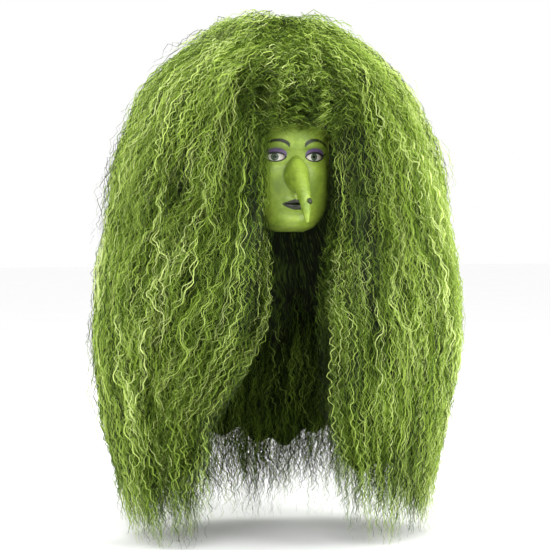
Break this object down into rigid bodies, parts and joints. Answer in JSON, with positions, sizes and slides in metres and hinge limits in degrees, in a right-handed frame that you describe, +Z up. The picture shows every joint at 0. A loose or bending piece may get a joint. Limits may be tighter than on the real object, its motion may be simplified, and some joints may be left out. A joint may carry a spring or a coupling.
{
  "type": "latex halloween mask",
  "caption": "Green witch face mask in thin latex with a long hooked nose that pulls off, and a huge crimped green wig on a net cap that lifts off over it.",
  "frame": {"origin": "centre of the wearer's head, midway between the ears on the eye line, where the mask and wig seat on a head", "axes": "+Z up, the face looks along -Y, +X is the wearer's left"},
  "size_m": [0.6018, 0.4158, 0.8264],
  "materials": {
    "green_latex": "painted latex, satin",
    "black_latex": "painted latex, semi-gloss",
    "green_hair": "crimped synthetic fibre, slight sheen",
    "dark_hair": "crimped synthetic fibre, dark roots",
    "grey_foam": "open-cell foam, matt",
    "black_elastic": "knitted elastic, matt",
    "black_net": "nylon net, matt",
    "black_plastic": "moulded, satin",
    "nickel": "nickel plate, polished",
    "eye_print": "printed perforated sheet",
    "clear_tape": "double-sided tape"
  },
  "bodies": {
    "mask": {"face_shell": "green_latex", "forehead_pad": "grey_foam", "chin_pad": "grey_foam", "cheek_pad_left": "grey_foam", "cheek_pad_right": "grey_foam", "eye_mesh_left": "eye_print", "eye_mesh_right": "eye_print", "strap_tab_left": "green_latex", "strap_tab_right": "green_latex", "shell_rivet_left": "nickel", "shell_rivet_right": "nickel", "strap_rivet_left": "nickel", "strap_rivet_right": "nickel", "elastic_strap": "black_elastic"},
    "slider": {"strap_slider": "black_plastic"},
    "nose": {"witch_nose": "green_latex", "nose_tape": "clear_tape", "nose_wart": "black_latex"},
    "adjuster_left": {"adjuster_strap_left": "black_elastic", "adjuster_hook_left": "black_plastic"},
    "adjuster_right": {"adjuster_strap_right": "black_elastic", "adjuster_hook_right": "black_plastic"},
    "wig": {"cap_binding": "black_elastic", "crown_hair": "green_hair", "ear_tab_left": "black_elastic", "ear_tab_right": "black_elastic", "fringe_left": "dark_hair", "fringe_middle": "dark_hair", "fringe_right": "dark_hair", "front_weft": "dark_hair", "ladder_tape": "black_elastic", "lower_hair_back": "green_hair", "lower_hair_back_left": "green_hair", "lower_hair_back_right": "green_hair", "lower_hair_front_left": "green_hair", "lower_hair_front_right": "green_hair", "lower_hair_side_left": "green_hair", "lower_hair_side_right": "green_hair", "upper_hair_back": "green_hair", "upper_hair_back_left": "green_hair", "upper_hair_back_right": "green_hair", "upper_hair_front_left": "green_hair", "upper_hair_front_right": "green_hair", "upper_hair_side_left": "green_hair", "upper_hair_side_right": "green_hair", "weft_row_1": "dark_hair", "weft_row_2": "dark_hair", "weft_row_3": "dark_hair", "weft_row_4": "dark_hair", "weft_row_5": "dark_hair", "weft_row_6": "dark_hair", "wig_cap": "black_net"}
  },
  "joints": [
    {"name": "wig_lift", "type": "slide", "parent": "mask", "child": "wig", "axis": [0, 0, 1], "range_m": [0, 0.3]},
    {"name": "nose_pull", "type": "slide", "parent": "mask", "child": "nose", "axis": [0, -1, 0], "range_m": [0, 0.08]},
    {"name": "strap_adjust", "type": "hinge", "parent": "mask", "child": "slider", "pos_m": [0, 0.024, 0.021], "axis": [0, 0, 1], "range_deg": [-12, 12]},
    {"name": "nape_adjust_left", "type": "hinge", "parent": "wig", "child": "adjuster_left", "pos_m": [0, 0.024, -0.034], "axis": [0, 0, 1], "range_deg": [0, 10]},
    {"name": "nape_adjust_right", "type": "hinge", "parent": "wig", "child": "adjuster_right", "pos_m": [0, 0.024, -0.034], "axis": [0, 0, -1], "range_deg": [0, 10]}
  ]
}
